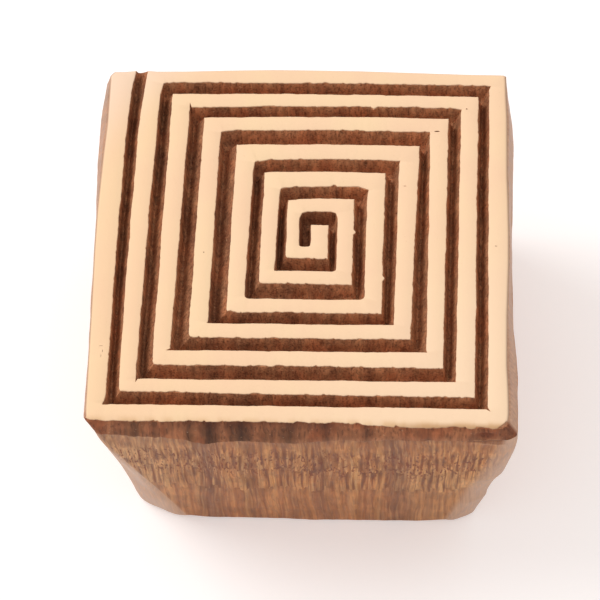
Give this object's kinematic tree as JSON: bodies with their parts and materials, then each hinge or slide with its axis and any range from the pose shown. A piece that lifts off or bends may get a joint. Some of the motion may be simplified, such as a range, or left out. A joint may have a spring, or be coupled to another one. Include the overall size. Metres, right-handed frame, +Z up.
{
  "type": "textile printing block",
  "caption": "Square hand-carved hardwood block with a raised square-spiral line on its face, for stamping dye or paint onto cloth; tapered body to grip.",
  "frame": {"origin": "middle of the flat back that the block stands on", "axes": "+Z up out of the printing face; +X to the right and -Y towards the viewer when the groove's mouth is at the back left"},
  "size_m": [0.0624, 0.0624, 0.04],
  "materials": {
    "hardwood": "matte",
    "pale_ground": "matte"
  },
  "bodies": {
    "root": {"carved_block": "hardwood", "ground_coat": "pale_ground"}
  },
  "joints": []
}
